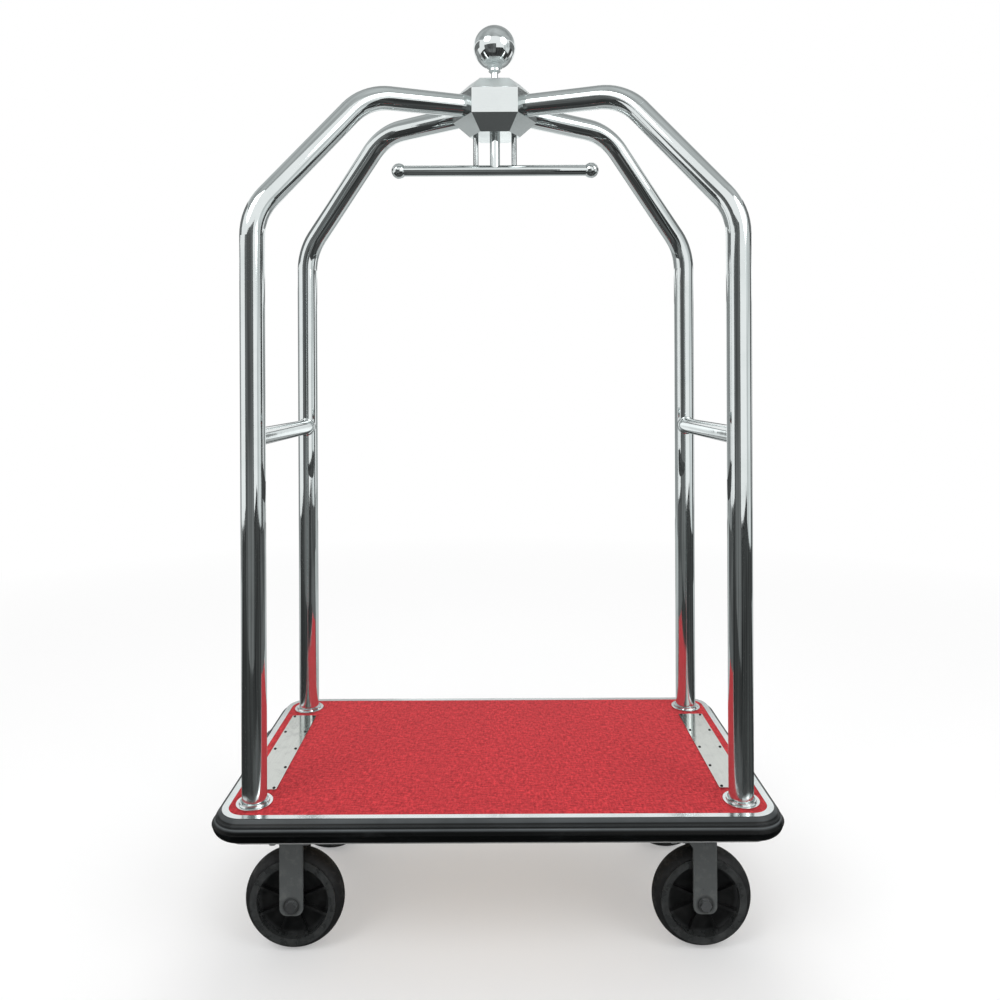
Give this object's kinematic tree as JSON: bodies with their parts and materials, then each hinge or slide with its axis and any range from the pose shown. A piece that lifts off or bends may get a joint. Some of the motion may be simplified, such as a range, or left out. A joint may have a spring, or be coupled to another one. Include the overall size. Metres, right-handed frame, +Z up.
{
  "type": "hotel luggage cart",
  "caption": "Birdcage luggage cart: bent tube posts meeting in a faceted crown with a ball finial, garment bar, carpeted deck with bumper, rigid and swivel casters.",
  "frame": {"origin": "on the floor under the middle of the deck", "axes": "+Z up, +X along the deck toward the swivel casters, -Y toward the front long side"},
  "size_m": [1.1114, 0.6034, 1.9414],
  "materials": {
    "polished_tube": "mirror-polished stainless tube",
    "polished_casting": "mirror-polished casting",
    "end_plate": "satin stainless sheet",
    "zinc_hardware": "zinc plated",
    "frame_steel": "grey powder coat",
    "fork_paint": "dark grey paint",
    "bush_brass": "sintered bush",
    "wheel_plastic": "moulded black nylon",
    "tyre": "black rubber tread",
    "carpet": "red needle-felt carpet",
    "plywood": "plywood",
    "bumper_rubber": "black extruded rubber"
  },
  "bodies": {
    "cart": {"front_left_post": "polished_tube", "front_right_post": "polished_tube", "rear_left_post": "polished_tube", "rear_right_post": "polished_tube", "left_side_rail": "polished_tube", "right_side_rail": "polished_tube", "finial_stem": "polished_tube", "finial_ball": "polished_tube", "hanger_stem": "polished_tube", "hanger_rods": "polished_tube", "hanger_bar": "polished_tube", "hanger_bar_balls": "polished_tube", "post_flanges": "polished_tube", "edge_trim": "polished_tube", "crown_hub": "polished_casting", "left_end_plate": "end_plate", "right_end_plate": "end_plate", "post_plugs": "zinc_hardware", "post_bolts": "zinc_hardware", "end_plate_screws": "zinc_hardware", "front_right_swivel_plate": "zinc_hardware", "rear_right_swivel_plate": "zinc_hardware", "front_right_kingpin": "zinc_hardware", "rear_right_kingpin": "zinc_hardware", "kingpin_nuts": "zinc_hardware", "front_right_ball_race": "zinc_hardware", "rear_right_ball_race": "zinc_hardware", "front_left_axle": "zinc_hardware", "rear_left_axle": "zinc_hardware", "left_axle_nuts": "zinc_hardware", "caster_bolts": "zinc_hardware", "caster_nuts": "zinc_hardware", "deck_frame": "frame_steel", "left_caster_channel": "frame_steel", "right_caster_channel": "frame_steel", "front_left_fork": "fork_paint", "rear_left_fork": "fork_paint", "carpet": "carpet", "deck_board": "plywood", "bumper": "bumper_rubber", "bumper_joiner": "bumper_rubber"},
    "front_right_swivel": {"front_right_fork": "fork_paint", "front_right_axle": "zinc_hardware", "front_right_axle_nut": "zinc_hardware"},
    "rear_right_swivel": {"rear_right_fork": "fork_paint", "rear_right_axle": "zinc_hardware", "rear_right_axle_nut": "zinc_hardware"},
    "front_left_wheel": {"front_left_wheel_core": "wheel_plastic", "front_left_tyre": "tyre", "front_left_wheel_bush": "bush_brass"},
    "rear_left_wheel": {"rear_left_wheel_core": "wheel_plastic", "rear_left_tyre": "tyre", "rear_left_wheel_bush": "bush_brass"},
    "front_right_wheel": {"front_right_wheel_core": "wheel_plastic", "front_right_tyre": "tyre", "front_right_wheel_bush": "bush_brass"},
    "rear_right_wheel": {"rear_right_wheel_core": "wheel_plastic", "rear_right_tyre": "tyre", "rear_right_wheel_bush": "bush_brass"}
  },
  "joints": [
    {"name": "front_right_caster_swivel", "type": "hinge", "parent": "cart", "child": "front_right_swivel", "pos_m": [0.38, -0.17, 0.225], "axis": [0, 0, 1], "continuous": true},
    {"name": "rear_right_caster_swivel", "type": "hinge", "parent": "cart", "child": "rear_right_swivel", "pos_m": [0.38, 0.17, 0.225], "axis": [0, 0, 1], "continuous": true},
    {"name": "front_left_wheel_spin", "type": "hinge", "parent": "cart", "child": "front_left_wheel", "pos_m": [-0.412, -0.17, 0.1], "axis": [0, 1, 0], "continuous": true},
    {"name": "front_right_wheel_spin", "type": "hinge", "parent": "front_right_swivel", "child": "front_right_wheel", "pos_m": [0.412, -0.17, 0.1], "axis": [0, 1, 0], "continuous": true},
    {"name": "rear_left_wheel_spin", "type": "hinge", "parent": "cart", "child": "rear_left_wheel", "pos_m": [-0.412, 0.17, 0.1], "axis": [0, 1, 0], "continuous": true},
    {"name": "rear_right_wheel_spin", "type": "hinge", "parent": "rear_right_swivel", "child": "rear_right_wheel", "pos_m": [0.412, 0.17, 0.1], "axis": [0, 1, 0], "continuous": true}
  ]
}
